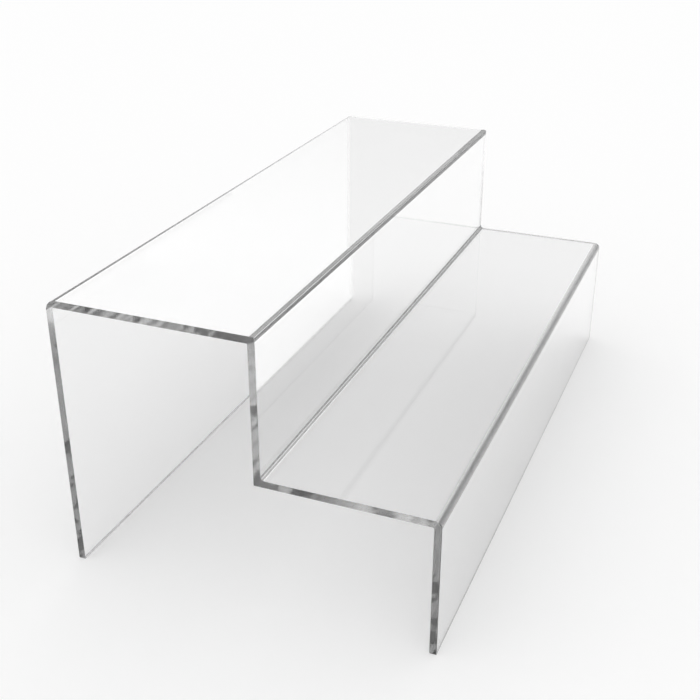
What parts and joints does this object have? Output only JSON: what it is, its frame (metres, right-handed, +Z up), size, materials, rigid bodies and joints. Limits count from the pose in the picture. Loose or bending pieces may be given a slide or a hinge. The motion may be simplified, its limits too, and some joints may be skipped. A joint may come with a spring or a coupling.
{
  "type": "step display stand",
  "caption": "Clear acrylic counter riser with an upper and a lower step, sheet panels joined at mitred rounded corners, open at both ends; holds goods on display.",
  "frame": {"origin": "on the table, under the middle of the stand's box", "axes": "+X along the steps, -Y to the front where the lower step is, +Z up"},
  "size_m": [0.3, 0.161, 0.121],
  "materials": {
    "clear_acrylic": "clear cast acrylic sheet with polished faces and saw-cut, flame-polished edges"
  },
  "bodies": {
    "root": {"back_panel": "clear_acrylic", "upper_shelf": "clear_acrylic", "middle_riser": "clear_acrylic", "lower_shelf": "clear_acrylic", "front_panel": "clear_acrylic"}
  },
  "joints": []
}
